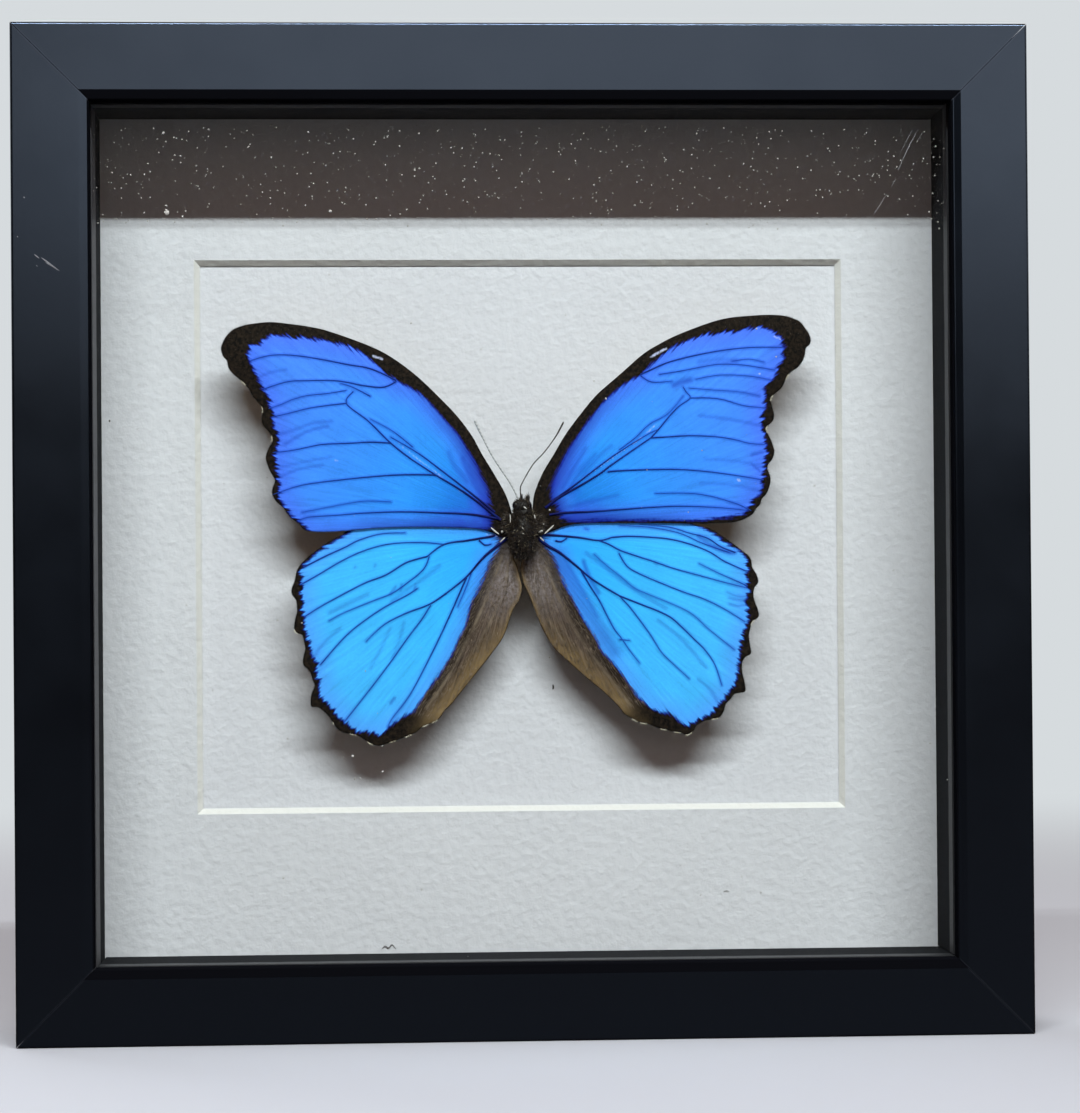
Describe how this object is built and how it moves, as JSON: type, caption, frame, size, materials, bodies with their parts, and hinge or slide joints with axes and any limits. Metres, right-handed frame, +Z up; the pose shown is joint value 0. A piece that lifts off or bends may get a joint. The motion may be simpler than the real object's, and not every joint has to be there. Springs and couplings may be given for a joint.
{
  "type": "framed butterfly specimen",
  "caption": "Square black box frame with a glazed front, a white window mat and a blue morpho butterfly pinned with spread wings inside.",
  "frame": {"origin": "centre of the box frame's underside, on the surface that it stands on", "axes": "+Z up, glazed front faces -Y, +X to the viewer's right when facing the front"},
  "size_m": [0.25, 0.045, 0.25],
  "materials": {
    "black_moulding": "satin black lacquer",
    "black_spacer": "matt black covered board",
    "spring_steel": "plain sheet steel",
    "hanger_steel": "zinc plated",
    "clear_glass": "clear, polished",
    "mat_board": "white, cold pressed, cream core",
    "mount_paper": "white, cold pressed",
    "hardboard": "bare hardboard",
    "dry_cuticle": "dry, hairy",
    "blue_wing": "structural blue scales with a black-brown border",
    "pin_steel": "polished"
  },
  "bodies": {
    "root": {"rail_top": "black_moulding", "rail_right": "black_moulding", "rail_bottom": "black_moulding", "rail_left": "black_moulding", "spacer_top": "black_spacer", "spacer_right": "black_spacer", "spacer_bottom": "black_spacer", "spacer_left": "black_spacer", "tab_top_1": "spring_steel", "tab_top_2": "spring_steel", "tab_right_1": "spring_steel", "tab_right_2": "spring_steel", "tab_bottom_1": "spring_steel", "tab_bottom_2": "spring_steel", "tab_left_1": "spring_steel", "tab_left_2": "spring_steel", "hanger_plate": "hanger_steel", "hanger_nail_1": "hanger_steel", "hanger_nail_2": "hanger_steel", "glass_pane": "clear_glass", "window_mat": "mat_board", "mount_board": "mount_paper", "backing_panel": "hardboard", "butterfly_body": "dry_cuticle", "forewing_left": "blue_wing", "forewing_right": "blue_wing", "hindwing_left": "blue_wing", "hindwing_right": "blue_wing", "antenna_left": "dry_cuticle", "antenna_right": "dry_cuticle", "specimen_pin": "pin_steel"}
  },
  "joints": []
}
